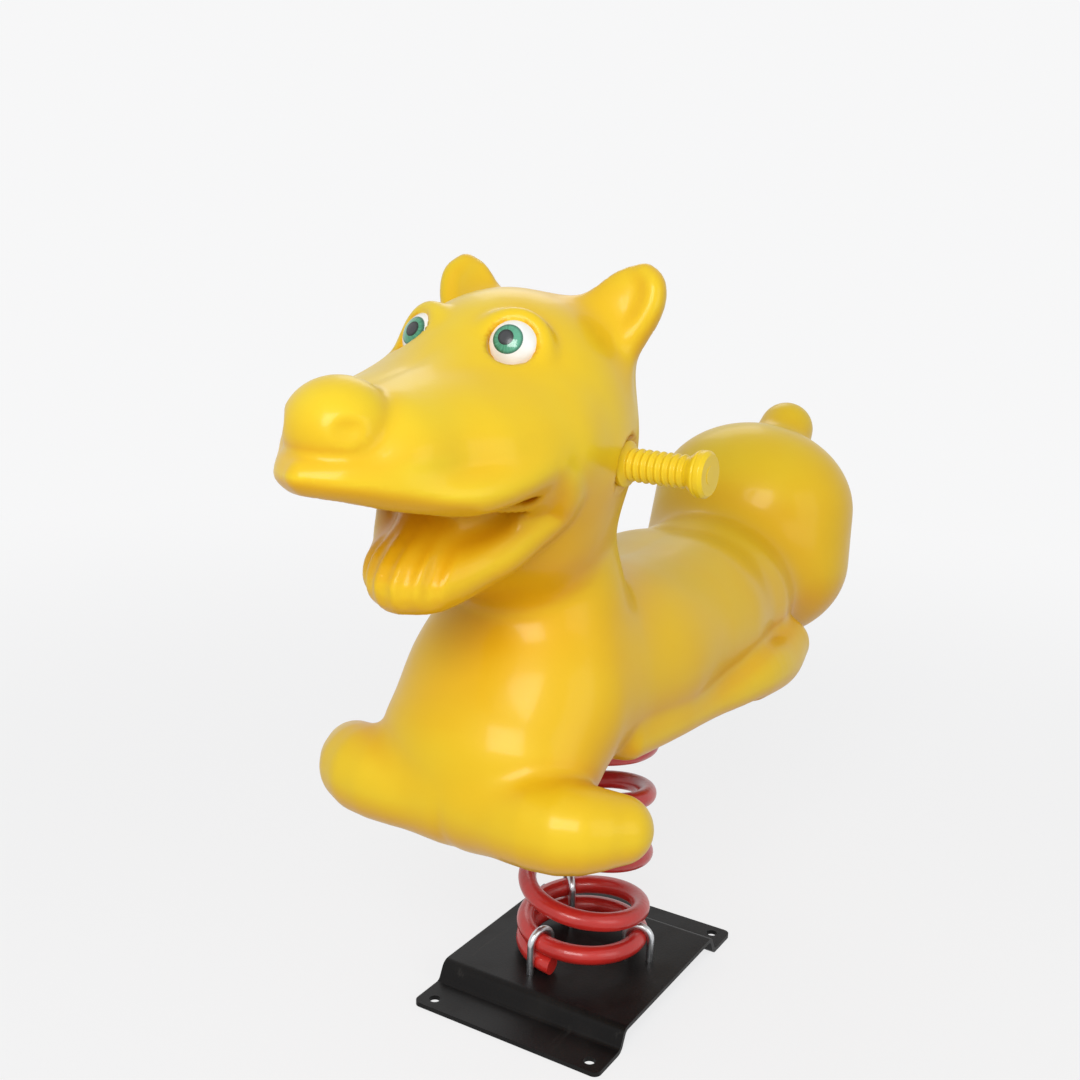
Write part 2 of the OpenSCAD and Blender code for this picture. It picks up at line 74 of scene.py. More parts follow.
# %% [markdown]
# The camera stands in front of the animal's left cheek, a little above the handle. Its place
# could be dragged by eye. Here it is written as a compass angle, a height angle and a small
# roll, so the three axes of the camera come from plain trigonometry. The lens comes from the
# sensor's width and a focal length in pixels.

# %% Camera
PICTURE = 1080
VIEW_ANGLE = math.radians(29.47)
VIEW_HEIGHT = math.radians(13.15)
VIEW_ROLL = math.radians(2.55)
VIEW_PLACE = Vector((0.6237, -1.1310, 0.7966))
FOCAL_PIXELS = 1279.7
AXIS_PIXEL = (587.7, 539.3)
SENSOR = 36.0

back = Vector((math.sin(VIEW_ANGLE) * math.cos(VIEW_HEIGHT),
               -math.cos(VIEW_ANGLE) * math.cos(VIEW_HEIGHT),
               math.sin(VIEW_HEIGHT)))
level = Vector((math.cos(VIEW_ANGLE), math.sin(VIEW_ANGLE), 0))
upright = back.cross(level)
right = level * math.cos(VIEW_ROLL) + upright * math.sin(VIEW_ROLL)
up = upright * math.cos(VIEW_ROLL) - level * math.sin(VIEW_ROLL)

camera_data = bpy.data.cameras.new("camera")
camera_data.sensor_width = SENSOR
camera_data.lens = FOCAL_PIXELS / PICTURE * SENSOR
camera_data.shift_x = (PICTURE / 2 - AXIS_PIXEL[0]) / PICTURE
camera_data.shift_y = (AXIS_PIXEL[1] - PICTURE / 2) / PICTURE
camera = bpy.data.objects.new("camera", camera_data)
turned = Matrix((right, up, back)).transposed().to_4x4()
camera.matrix_world = Matrix.Translation(VIEW_PLACE) @ turned
scene.collection.objects.link(camera)
scene.camera = camera
scene.view_settings.view_transform = "Standard"
print("lens:", round(camera_data.lens, 2), "mm")

# %% [markdown]
# Shaders and geometry trees are both made of nodes. Wiring each node by hand hides the sum
# that it stands for, so one small class wraps a socket and lets us write the sums as plain
# Python.

# %% A socket that does sums
class Value:
    """An output socket that can be added, multiplied and so on."""

    def __init__(self, desk, socket):
        self.desk = desk
        self.socket = socket

    def sum(self, operation, first, second):
        return self.desk.node("ShaderNodeMath", {"operation": operation}, {0: first, 1: second})

    def __add__(self, other):
        return self.sum("ADD", self, other)

    def __sub__(self, other):
        return self.sum("SUBTRACT", self, other)

    def __rsub__(self, other):
        return self.sum("SUBTRACT", other, self)

    def __mul__(self, other):
        return self.sum("MULTIPLY", self, other)

    def __truediv__(self, other):
        return self.sum("DIVIDE", self, other)

    def __pow__(self, other):
        return self.sum("POWER", self, other)

    __radd__ = __add__
    __rmul__ = __mul__


print("a value adds, subtracts, multiplies, divides and raises")

# %% [markdown]
# Every node that is not a sum comes from a single method. It takes the node's kind, its
# settings, which come first because they can change the sockets, and its inputs.

# %% A desk that adds nodes
class Desk:
    """A node tree with one way to add a node."""

    def __init__(self, tree):
        self.tree = tree

    def feed(self, socket, value):
        if isinstance(value, Value):
            self.tree.links.new(value.socket, socket)
        elif socket.type == "RGBA" and len(value) == 3:
            socket.default_value = (*value, 1)
        else:
            socket.default_value = value

    def node(self, kind, settings=None, inputs=None, output=0):
        made = self.tree.nodes.new(kind)
        for name, value in (settings or {}).items():
            setattr(made, name, value)
        for key, value in (inputs or {}).items():
            self.feed(made.inputs[key], value)
        return Value(self, made.outputs[output])


print("a desk adds any node and feeds its sockets")

# %% [markdown]
# Every finish starts from the same few patterns: a soft cloud of noise, a step between two
# levels, a mix of two colours and a bump from a height. They read Object coordinates in
# metres, so a scale of 250 gives grains of about four millimetres on any piece. Colours are
# written as on a paint chart and turned into the linear numbers that a shader uses.

# %% Patterns that all finishes share
def linear(hex_colour):
    """A chart colour in linear numbers."""
    parts = [int(hex_colour[i:i + 2], 16) / 255 for i in (1, 3, 5)]
    return tuple(c / 12.92 if c <= 0.04045 else ((c + 0.055) / 1.055) ** 2.4 for c in parts)


class Finish(Desk):
    """A material with its coordinates, patterns and one plastic or metal shader."""

    def __init__(self, name):
        self.material = bpy.data.materials.new(name)
        self.material.use_nodes = True
        super().__init__(self.material.node_tree)
        self.shader = self.tree.nodes["Principled BSDF"]
        self.place = self.node("ShaderNodeTexCoord", output="Object")

    def cloud(self, scale, detail=3, stretch=(1, 1, 1), rough=0.5):
        spot = self.node("ShaderNodeMapping", None, {"Vector": self.place, "Scale": stretch})
        return self.node("ShaderNodeTexNoise", None,
                         {"Vector": spot, "Scale": scale, "Detail": detail, "Roughness": rough})

    def step(self, value, low, high):
        return self.node("ShaderNodeMapRange", {"interpolation_type": "SMOOTHSTEP"},
                         {"Value": value, "From Min": low, "From Max": high})

    def mix(self, share, first, second):
        """Sockets 6 and 7 of a Mix node are its two colours, and output 2 is their mix."""
        return self.node("ShaderNodeMix", {"data_type": "RGBA"},
                         {0: share, 6: first, 7: second}, 2)

    def axis(self, name):
        return self.node("ShaderNodeSeparateXYZ", None, {0: self.place}, name)

    def stored(self, name):
        return self.node("ShaderNodeAttribute", {"attribute_name": name}, None, "Fac")

    def bump(self, height):
        """A height in metres, felt as a tilt of the surface."""
        return self.node("ShaderNodeBump", None,
                         {"Height": height, "Distance": 1.0, "Strength": 1.0})

    def set(self, **sockets):
        for name, value in sockets.items():
            self.feed(self.shader.inputs[name.replace("_", " ")], value)
        return self.material


print("a finish offers: cloud, step, mix, axis, stored, bump")

# %% [markdown]
# The animal's plastic is moulded in one colour right through, so its look comes from the
# surface: a semi-gloss skin with a faint orange peel, duller in scuffed streaks. Shade is
# painted into its colour: a deeper golden yellow where it is closed in, looks down or lies
# low, and a deeper orange in creases. Both amounts of painted shade are stored on the mesh
# when the body is made, from 0 to 1.

# %% Moulded yellow plastic
YELLOW = linear("#E9CA2A")
YELLOW_WARM = linear("#E8C322")
# painted shade: a deeper golden yellow for closed-in, downward and low places, and a deeper orange
# for creases
YELLOW_PAINTED_SHADE = linear("#E0A60F")
YELLOW_CREASE_SHADE = linear("#D2900C")
SHEEN_TINT = (1, 0.9, 0.5)

def moulded_plastic(name, with_painted_shade):
    plastic = Finish(name)
    colour = plastic.mix(plastic.step(plastic.cloud(9), 0.35, 0.7), YELLOW, YELLOW_WARM)
    if with_painted_shade:
        # painted shade, mixed in by the two stored amounts
        colour = plastic.mix(plastic.stored("painted_shade"), colour, YELLOW_PAINTED_SHADE)
        colour = plastic.mix(plastic.stored("crease_shade") * 0.5, colour, YELLOW_CREASE_SHADE)
    scuffs = plastic.step(plastic.cloud(60, 6, (1, 0.12, 1), 0.65), 0.62, 0.8)
    blotch = plastic.step(plastic.cloud(22, 4), 0.4, 0.7)
    peel = plastic.cloud(330, 1)
    waves = plastic.cloud(24, 1)
    return plastic.set(
        Base_Color=colour,
        Roughness=0.36 + blotch * 0.05 + scuffs * 0.1,
        Normal=plastic.bump(peel * 0.00005 + waves * 0.0003 - scuffs * 0.00004),
        Specular_IOR_Level=0.3, Specular_Tint=SHEEN_TINT,
        Coat_Weight=0.16, Coat_Roughness=0.12)


body_plastic = moulded_plastic("moulded_yellow", True)
grip_plastic = moulded_plastic("grip_yellow", False)
print("plastic:", body_plastic.name, grip_plastic.name)

# %% [markdown]
# The spring is steel under a thick red powder coat: glossy, slightly wavy, and chipped to
# dull steel in a few specks. A narrow step in a fine cloud picks out the specks, and the
# same mask makes them rough and sinks them below the coat.

# %% Red powder coat
RED, RED_DEEP = linear("#CC2D26"), linear("#B8241F")
CHIP = linear("#5B4A45")

def red_coat():
    paint = Finish("red_powder_coat")
    tone = paint.mix(paint.step(paint.cloud(14), 0.35, 0.7), RED, RED_DEEP)
    chips = paint.step(paint.cloud(95, 5, rough=0.6), 0.715, 0.735)
    colour = paint.mix(chips, tone, CHIP)
    waves = paint.cloud(160, 2)
    return paint.set(
        Base_Color=colour,
        Roughness=0.26 + paint.cloud(40) * 0.1 + chips * 0.3,
        Normal=paint.bump(waves * 0.0004 - chips * 0.0002),
        Coat_Weight=0.25, Coat_Roughness=0.1)


red_paint = red_coat()
print("the spring's coat:", red_paint.name)

# %% [markdown]
# The plates have a black paint that is satin, with fine scratches along and across it and
# faint patches of dust. A cloud that is stretched a lot in one direction gives scratches.

# %% Black paint
BLACK, BLACK_DEEP = linear("#191818"), linear("#131212")
DUST, SCRATCH = linear("#3A3734"), linear("#5A5754")

def black_paint():
    paint = Finish("black_paint")
    tone = paint.mix(paint.step(paint.cloud(11), 0.35, 0.7), BLACK, BLACK_DEEP)
    along = paint.step(paint.cloud(30, 8, (1, 0.06, 1), 0.7), 0.63, 0.72)
    across = paint.step(paint.cloud(34, 8, (0.07, 1, 1), 0.7), 0.64, 0.72)
    scratches = along * 0.6 + across * 0.4
    dust = paint.step(paint.cloud(18, 6), 0.45, 0.8)
    colour = paint.mix(dust * 0.2, tone, DUST)
    colour = paint.mix(scratches * 0.3, colour, SCRATCH)
    return paint.set(
        Base_Color=colour,
        Roughness=0.36 + dust * 0.18 + scratches * 0.12,
        Normal=paint.bump(paint.cloud(420, 2) * 0.00012 - scratches * 0.00006),
        Specular_IOR_Level=0.12)


plate_paint = black_paint()
print("the plates' paint:", plate_paint.name)

# %% [markdown]
# The U-bolts, nuts and washers are zinc plated. Zinc is a bright grey metal with a faint
# cloud of blue and straw, and it dulls in patches. The inserts are plain brass.

# %% Bare metals
def plated(name, light, dark, dull):
    metal = Finish(name)
    patch = metal.step(metal.cloud(70, 4), 0.35, 0.7)
    grain = metal.cloud(500, 2, (1, 1, 0.2))
    return metal.set(
        Base_Color=metal.mix(patch, light, dark),
        Metallic=1.0,
        Roughness=dull + patch * 0.12 + grain * 0.08,
        Normal=metal.bump(grain * 0.00008))


zinc = plated("zinc_plating", linear("#D3D5D8"), linear("#B4B5B3"), dull=0.24)
brass = plated("turned_brass", linear("#D8B760"), linear("#B4934A"), dull=0.3)
print("metal:", zinc.name, brass.name)

# %% [markdown]
# The floor and the backdrop are one pale sheet. Lamps strong enough to whiten it would bleach
# the object too. So most of what the camera sees of it is a steady pale white, and the rest
# is ordinary matt paint, which keeps the soft shadow under the plate. Shiny metal sees the
# same white, so its reflections fit the picture.

# %% Floor
PALE = (0.93, 0.93, 0.93 * 1.005)
FLOOR_SEEN, FLOOR_BOUNCE = (0.9, 0.9, 0.905), (0.58, 0.58, 0.58)
FLOOR_HALF = 9.0
GLOW_NEAR = 0.82
GLOW_FROM, GLOW_TO = 0.6, 2.6

def seen_share(desk):
    """What the camera sees straight, and all that it sees, also mirrored or through glass."""
    rays = desk.node("ShaderNodeLightPath").socket.node
    straight, mirrored, through = [Value(desk, rays.outputs["Is " + kind + " Ray"])
                                   for kind in ("Camera", "Glossy", "Transmission")]
    return straight, straight + mirrored + through


def pale_sheet():
    sheet = Finish("pale_sheet")
    straight, seen = seen_share(sheet)
    sheet.set(Base_Color=sheet.mix(straight, FLOOR_BOUNCE, FLOOR_SEEN), Roughness=0.9)
    glow = sheet.node("ShaderNodeEmission", None, {"Color": PALE})
    x, y = sheet.axis("X"), sheet.axis("Y")
    far = sheet.step((x * x + y * y) ** 0.5, GLOW_FROM, GLOW_TO)
    share = seen * (GLOW_NEAR + (1 - GLOW_NEAR) * far)
    matt = Value(sheet, sheet.shader.outputs[0])
    blended = sheet.node("ShaderNodeMixShader", None, {0: share, 1: matt, 2: glow})
    sheet.feed(sheet.tree.nodes["Material Output"].inputs["Surface"], blended)
    return sheet.material


floor_mesh = bpy.data.meshes.new("floor")
floor_mesh.from_pydata([(-FLOOR_HALF, -FLOOR_HALF, 0), (FLOOR_HALF, -FLOOR_HALF, 0),
                        (FLOOR_HALF, FLOOR_HALF, 0), (-FLOOR_HALF, FLOOR_HALF, 0)],
                       [], [(0, 1, 2, 3)])
floor = bpy.data.objects.new("floor", floor_mesh)
floor_mesh.materials.append(pale_sheet())
scene.collection.objects.link(floor)
print("floor:", 2 * FLOOR_HALF, "m wide")

# %% [markdown]
# Three large lamps and an even sky give plain studio light. The key lamp stands on the
# camera's side, the fill lamp softens the animal's left, and the rim lamp lights its back.

# %% Sky and lamps
SKY_LIGHT = 0.42

world = bpy.data.worlds.new("studio")
world.use_nodes = True
scene.world = world
sky = Desk(world.node_tree)
plain_sky = sky.node("ShaderNodeBackground", None, {"Color": (1, 1, 1), "Strength": SKY_LIGHT})
seen_sky = sky.node("ShaderNodeBackground", None, {"Color": PALE, "Strength": 1.0})
both = sky.node("ShaderNodeMixShader", None, {0: seen_share(sky)[1], 1: plain_sky, 2: seen_sky})
sky.feed(world.node_tree.nodes["World Output"].inputs["Surface"], both)

def lamp(name, place, aim, size, power):
    light = bpy.data.lights.new(name, "AREA")
    light.shape = "RECTANGLE"
    light.size, light.size_y = size
    light.energy = power
    holder = bpy.data.objects.new(name, light)
    holder.location = place
    holder.rotation_euler = (Vector(aim) - Vector(place)).to_track_quat("-Z", "Y").to_euler()
    scene.collection.objects.link(holder)
    print(name, "lamp:", power, "W")


lamp("key", place=(0.82, -2.5, 1.8), aim=(0, -0.1, 0.55), size=(1.5, 1.3), power=53)
lamp("fill", place=(2.5, -0.5, 1.2), aim=(0, 0, 0.5), size=(1.4, 1.6), power=11)
lamp("rim", place=(-1.4, 2.2, 2.4), aim=(0, 0.1, 0.5), size=(1.4, 1.2), power=8)

# %% [markdown]
# The animal itself could be modelled by pushing points about on a cage. A moulding like this
# is really a family of balls, eggs and tapered limbs that melt into one another, so we
# describe it as a distance field instead: each form answers how far a point lies from its
# skin, in millimetres.

# %% Eggs and limbs
TINY = 1e-9

def egg(p, centre, half, axes=None):
    """An ellipsoid by its middle and its three half sizes, turned to three axes if given."""
    q = p - np.array(centre, float)
    if axes is not None:
        q = q @ np.transpose(axes)
    half = np.array(half, float)
    k0 = np.linalg.norm(q / half, axis=1)
    k1 = np.linalg.norm(q / (half * half), axis=1)
    return np.where(k1 > TINY, k0 * (k0 - 1) / np.maximum(k1, TINY), -half.min())


def limb(p, a, ra, b, rb, wide=1.0):
    """A tapered round limb between two balls, stretched sideways by wide."""
    squeeze = np.array([1 / wide, 1, 1])
    a, b, p = np.array(a, float) * squeeze, np.array(b, float) * squeeze, p * squeeze
    ba = b - a
    l2 = ba @ ba
    dr = ra - rb
    a2 = l2 - dr * dr
    pa = p - a
    y = pa @ ba
    z = y - l2
    across = pa * l2 - y[:, None] * ba
    x2 = (across * across).sum(1)
    y2, z2 = y * y * l2, z * z * l2
    k = np.sign(dr) * dr * dr * x2
    side = (np.sqrt(x2 * a2 / l2) + y * dr) / l2 - ra
    end_b = np.sqrt(x2 + z2) / l2 - rb
    end_a = np.sqrt(x2 + y2) / l2 - ra
    return np.where(np.sign(z) * a2 * z2 > k, end_b,
                    np.where(np.sign(y) * a2 * y2 < k, end_a, side))


probe = np.array([[10.0, 0, 0]])
print("10 mm from the middle of an egg:", egg(probe, (0, 0, 0), (4, 4, 4)),
      "and of a limb:", limb(probe, (0, -9, 0), 3, (0, 9, 0), 3))

# %% [markdown]
# A plain minimum of two distances joins two forms with a sharp crease. A soft minimum leaves
# a fillet of chosen width, as a mould does. Lips, ears and foot rails are soft tubes: strings
# of short limbs along a smooth curve through a few beads.

# %% Melting, carving and soft tubes
FAR_OFF = 1e3
ROLL_REACH = 80

def melt(d, e, width):
    """The union of two forms with a fillet."""
    h = np.maximum(width - np.abs(d - e), 0) / width
    return np.minimum(d, e) - h * h * width / 4


def carve(d, e, width):
    """The first form less the second, with a rounded edge."""
    return -melt(-d, e, width)


def roll(p, beads, steps=4):
    """A soft tube through beads of (x, y, z, radius), worked out only near the beads."""
    beads = np.array(beads, float)
    padded = np.vstack([2 * beads[0] - beads[1], beads, 2 * beads[-1] - beads[-2]])
    line = []
    for i in range(1, len(padded) - 2):
        a, b, c, e = padded[i - 1:i + 3]
        for t in np.arange(steps) / steps:
            line.append(0.5 * (2 * b + (c - a) * t + (2 * a - 5 * b + 4 * c - e) * t * t
                               + (3 * b - a - 3 * c + e) * t ** 3))
    line.append(beads[-1])
    d = np.full(len(p), FAR_OFF)
    low, high = beads[:, :3].min(0) - ROLL_REACH, beads[:, :3].max(0) + ROLL_REACH
    near = np.all((p > low) & (p < high), axis=1)
    q = p[near]
    if len(q):
        best = np.full(len(q), FAR_OFF)
        for a, b in zip(line[:-1], line[1:]):
            best = np.minimum(best, limb(q, a[:3], a[3], b[:3], b[3]))
        d[near] = best
    return d


print("10 mm from a soft tube's middle:", roll(probe, [(0, -9, 0, 3), (0, 0, 0, 3), (0, 9, 0, 3)]))

# %% [markdown]
# Eye sockets, the handle's boss and the recess in the belly are plain shop shapes, so a bar,
# a ring and two kinds of block complete the set.

# %% Bars, rings and blocks
def rod(p, start, along, radius, length):
    """A flat-ended round bar."""
    q = p - np.array(start, float)
    t = q @ along
    out = np.linalg.norm(q - t[:, None] * along, axis=1) - radius
    ends = np.abs(t - length / 2) - length / 2
    outside = np.hypot(np.maximum(out, 0), np.maximum(ends, 0))
    return np.minimum(np.maximum(out, ends), 0) + outside


def ring(p, centre, along, radius, thick):
    """A doughnut round an axis."""
    q = p - np.array(centre, float)
    t = q @ along
    out = np.linalg.norm(q - t[:, None] * along, axis=1) - radius
    return np.hypot(out, t) - thick


def slab(p, half_x, half_y, low, high, corner):
    """A box with round corners in plan, round the spring's axis."""
    x = np.abs(p[:, 0]) - half_x + corner
    y = np.abs(p[:, 1]) - half_y + corner
    outside = np.hypot(np.maximum(x, 0), np.maximum(y, 0))
    plan = outside + np.minimum(np.maximum(x, y), 0) - corner
    return np.maximum(plan, np.maximum(low - p[:, 2], p[:, 2] - high))


def box(p, low, high):
    """A plain block by two corners."""
    low, high = np.array(low, float), np.array(high, float)
    q = np.abs(p - (low + high) / 2) - (high - low) / 2
    return np.linalg.norm(np.maximum(q, 0), axis=1) + np.minimum(q.max(1), 0)


print("10 mm from a block's middle:", box(probe, (-3, -3, -3), (3, 3, 3)))

# %% [markdown]
# Now the animal is written down like a recipe, one form a line. Only the left half is
# described, because a point's distance from the middle plane is folded to one side. Places
# are in millimetres from the ground under the spring. The trunk comes first, with the foot
# rails and the paws, and its underside is cut level.

# %% Trunk, foot rails and paws
FOOT_RAIL = [(88, -90, 326, 22), (98, -20, 324, 20), (104, 60, 322, 20), (110, 120, 322, 24),
             (114, 180, 326, 30), (112, 235, 324, 31), (103, 285, 331, 31)]
PAW = [(20, -234, 294, 42), (106, -241, 298, 42), (148, -211, 295, 31)]
UNDER_BELLY = ((-400, -160, 0), (400, 150, 306))
UNDER_RAIL = ((-400, -160, 0), (400, 150, 304))

def trunk(p):
    d = limb(p, (0, -165, 600), 95, (0, -118, 463), 71)
    d = melt(d, limb(p, (0, -118, 463), 71, (0, -194, 333), 70, 1.18), 24)
    d = melt(d, limb(p, (0, -194, 333), 70, (0, -210, 301), 60, 1.56), 44)
    d = melt(d, limb(p, (0, -137, 397), 75, (0, 0, 378), 82, 1.3), 40)
    d = melt(d, limb(p, (0, 0, 378), 82, (0, 250, 385), 88, 1.3), 40)
    d = melt(d, limb(p, (34, -145, 372), 73, (32, 150, 384), 82), 30)
    d = melt(d, limb(p, (0, 406, 468), 108, (0, 394, 406), 111, 1.22), 50)
    d = melt(d, limb(p, (0, 456, 505), 45, (0, 507, 558), 36), 20)
    d = carve(d, box(p, *UNDER_BELLY), 10)
    d = melt(d, roll(p, FOOT_RAIL), 14)
    d = carve(d, box(p, *UNDER_RAIL), 8)
    return melt(d, roll(p, PAW), 13)


saddle = np.array([[0.0, 100, 500]])
print("over the saddle:", trunk(saddle).round(1), "mm")

# %% [markdown]
# The head is an egg with a long muzzle, full cheeks and a rolled upper lip whose front edge
# is bevelled from below. Ears and nostrils look their own way, so a helper turns two or three
# angles into axes.

# %% Head
def facing(turn, tilt, lean=0):
    """Three axes of a part that looks forward: across, up, and out along its gaze."""
    turn, tilt, lean = (math.radians(a) for a in (turn, tilt, lean))
    across = np.array([math.cos(turn), math.sin(turn), 0])
    out = np.array([math.cos(tilt) * math.sin(turn), -math.cos(tilt) * math.cos(turn),
                    math.sin(tilt)])
    up = np.cross(out, across)
    return np.array([math.cos(lean) * across - math.sin(lean) * up,
                     math.cos(lean) * up + math.sin(lean) * across, out])


EAR = np.array([77.0, -132.0, 731.0])
EAR_AXES = facing(turn=14, tilt=10, lean=36)
EAR_BEADS = np.array([(19, -38, 0, 7), (22.5, -14, 2, 8), (22.5, 10, 3, 8), (18, 30, 3, 8),
                      (8, 43, 2, 7.5), (-5, 46, -2, 5)])
EAR_RIM = [(*(EAR + bead[:3] @ EAR_AXES), bead[3]) for bead in EAR_BEADS]
EAR_SUNK = 5
NOSTRIL = np.array([35.4, -437.8, 658.3])
NOSTRIL_AXES = facing(turn=48, tilt=6)
UPPER_LIP = [(0, -446, 621, 14), (24, -430, 618, 14), (50, -396, 610, 15), (76, -356, 606, 17),
             (89, -322, 610, 17), (95, -285, 621, 16), (91, -248, 634, 12)]
LIP_BEVEL = [(0, -472, 596, 20), (34, -453, 592, 20), (66, -414, 585, 19), (92, -370, 582, 12)]

def head(p, d):
    d = melt(d, egg(p, (0, -180, 640), (112, 118, 114)), 40)
    d = melt(d, limb(p, (0, -228, 652), 57, (0, -375, 639), 41), 40)
    d = melt(d, egg(p, (0, -340, 628), (70, 105, 24)), 40)
    d = melt(d, egg(p, (62, -235, 622), (44, 75, 48)), 40)
    d = melt(d, limb(p, (58, -284, 633), 34, (39, -374, 635), 25), 30)
    d = melt(d, limb(p, (63, -305, 630), 33, (72, -240, 634), 36), 30)
    d = melt(d, limb(p, (31, -250, 648), 48, (25, -362, 640), 33), 30)
    d = melt(d, roll(p, UPPER_LIP), 12)
    d = carve(d, roll(p, LIP_BEVEL), 12)
    d = melt(d, egg(p, (0, -407, 654), (43, 42, 39)), 5)
    d = carve(d, egg(p, NOSTRIL, (14, 10, 8), NOSTRIL_AXES), 5)
    d = melt(d, egg(p, EAR - EAR_SUNK * EAR_AXES[2], (33, 54, 12), EAR_AXES), 34)
    return melt(d, roll(p, EAR_RIM), 12)


nose_tip = np.array([[0.0, -460, 654]])
print("before the nose:", head(nose_tip, trunk(nose_tip)).round(1), "mm")

# %% [markdown]
# The lower jaw carries a soft lip and a tongue with three furrows that run over both. Lip and
# tongue are joined first and furrowed together, and then melt into the jaw. A trough and a
# small cut open the corner of the mouth.

# %% Lower jaw
LOWER_LIP = [(0, -331, 519, 26), (21, -316, 520, 25), (40, -284, 533, 23), (53, -267, 543, 22),
             (66, -249, 560, 21), (81, -234, 577, 19), (93, -239, 592, 17), (99, -251, 608, 15),
             (100, -267, 621, 13)]
MOUTH_TROUGH = [(78, -268, 592, 7), (62, -276, 580, 10), (48, -290, 570, 9), (40, -308, 560, 5)]
FURROWS = (0, 20, 37)
LIP_CURVE = 0.0146

def furrow(x):
    """Beads of a furrow over the tongue and the lip, at one place across."""
    back = LIP_CURVE * x * x
    return [(0.75 * x, -270, 598, 7), (0.85 * x, -304, 579, 8), (0.95 * x, back - 337, 557, 8),
            (x, back - 361, 525, 8), (x, back - 357, 498, 7.5), (x, back - 339, 483, 6)]


def jaw(p, d):
    d = melt(d, limb(p, (0, -190, 555), 72, (0, -290, 535), 34, 1.15), 30)
    d = melt(d, limb(p, (0, -292, 522), 26, (0, -225, 556), 34, 1.6), 14)
    soft = melt(roll(p, LOWER_LIP), limb(p, (0, -318, 530), 26, (0, -255, 572), 24, 1.5), 8)
    for x in FURROWS:
        soft = carve(soft, roll(p, furrow(x), 2), 5)
    d = melt(d, soft, 6)
    d = carve(d, roll(p, MOUTH_TROUGH), 8)
    return carve(d, limb(p, (92, -262, 608), 5, (80, -300, 592), 12), 9)


chin = np.array([[0.0, -360, 519]])
print("before the lower lip:", jaw(chin, head(chin, trunk(chin))).round(1), "mm")

# %% [markdown]
# Last come the places where other pieces meet the skin: a raised collar and a socket for each
# eye, a boss for the handle with room for the grip, and the recess under the belly with room
# for the upper plate and the top of the coil.

# %% Sockets, bosses and the belly's recess
DECK = 320.6
EYE = np.array([40.0, -232.0, 384.0 + DECK])
EYE_X, EYE_Y, EYE_OUT = facing(turn=24, tilt=18)
EYE_FLOOR, EYE_WIDE, EYE_DEEP = 22.0, 40.5, 40
COLLAR_OUT, COLLAR_R, COLLAR_THICK = 15, 24, 8.5
HANDLE = np.array([106.0, -158.0, 288.0 + DECK])
OUTWARD, UPWARD = np.array([1.0, 0, 0]), np.array([0, 0, 1.0])
BOSS_R, BOSS_LONG = 23, 46
GRIP_ROOM_R, GRIP_ROOM_LONG = 25, 84
RECESS_X, RECESS_Y, RECESS_CORNER = 90, 92, 14
COIL_ROOM_R, COIL_ROOM_LOW, COIL_ROOM_LONG = 88.4, 200, DECK - 182

def fittings(p, d):
    d = melt(d, ring(p, EYE + EYE_OUT * COLLAR_OUT, EYE_OUT, COLLAR_R, COLLAR_THICK), 10)
    d = carve(d, rod(p, EYE + EYE_OUT * EYE_FLOOR, EYE_OUT, EYE_WIDE / 2, EYE_DEEP), 2)
    d = melt(d, rod(p, HANDLE - OUTWARD * BOSS_LONG, OUTWARD, BOSS_R, BOSS_LONG), 6)
    d = carve(d, rod(p, HANDLE, OUTWARD, GRIP_ROOM_R, GRIP_ROOM_LONG), 3)
    d = carve(d, slab(p, RECESS_X, RECESS_Y, 0, DECK, RECESS_CORNER), 3)
    return carve(d, rod(p, (0, 0, COIL_ROOM_LOW), UPWARD, COIL_ROOM_R, COIL_ROOM_LONG), 3)


def animal(p):
    """Distance of points from the animal's skin, in millimetres."""
    p = np.column_stack([np.abs(p[:, 0]), p[:, 1], p[:, 2]])
    d = trunk(p)
    d = head(p, d)
    d = jaw(p, d)
    return fittings(p, d)


print("the whole animal, over the saddle:", animal(saddle).round(1), "mm")

# %% [markdown]
# The field becomes a mesh by laying a grid over it. Most of a grid's points lie far from the
# skin, where the sign is all that counts, so the field is asked once for each small block and
# worked out point by point only in blocks near the skin. The right half mirrors the left.

# %% The field on a grid
GRID = 3.9
LOW, HIGH = np.array([0.0, -468, 224]), np.array([192.0, 560, 796])
BLOCK = 6
NEAR_BLOCKS = 1.6

def sample(grid):
    """The axes of the grid and the field on it."""
    counts = np.ceil((HIGH - LOW) / grid).astype(int) + 1
    axes = [LOW[i] + grid * np.arange(counts[i]) for i in range(3)]
    values = np.full(counts, FAR_OFF)
    starts = [np.arange(0, n, BLOCK) for n in counts]
    j, k = [part.ravel() for part in np.meshgrid(starts[1], starts[2], indexing="ij")]
    half = grid * (BLOCK - 1) / 2
    cell = np.arange(BLOCK)
    for i in starts[0]:
        across = np.full(len(j), axes[0][i] + half)
        depth = animal(np.column_stack([across, axes[1][j] + half, axes[2][k] + half]))
        far = np.abs(depth) > grid * BLOCK * NEAR_BLOCKS
        for n in np.flatnonzero(far & (depth < 0)):
            values[i:i + BLOCK, j[n]:j[n] + BLOCK, k[n]:k[n] + BLOCK] = -FAR_OFF
        near = np.flatnonzero(~far)
        if not len(near):
            continue
        a, b, c = np.meshgrid(i + cell, cell, cell, indexing="ij")
        a = np.broadcast_to(a.ravel(), (len(near), BLOCK ** 3)).ravel()
        b = (j[near][:, None] + b.ravel()).ravel()
        c = (k[near][:, None] + c.ravel()).ravel()
        fits = (a < counts[0]) & (b < counts[1]) & (c < counts[2])
        a, b, c = a[fits], b[fits], c[fits]
        values[a, b, c] = animal(np.column_stack([axes[0][a], axes[1][b], axes[2][c]]))
    whole = np.concatenate([values[:0:-1], values])
    axes[0] = np.concatenate([-axes[0][:0:-1], axes[0]])
    return axes, whole


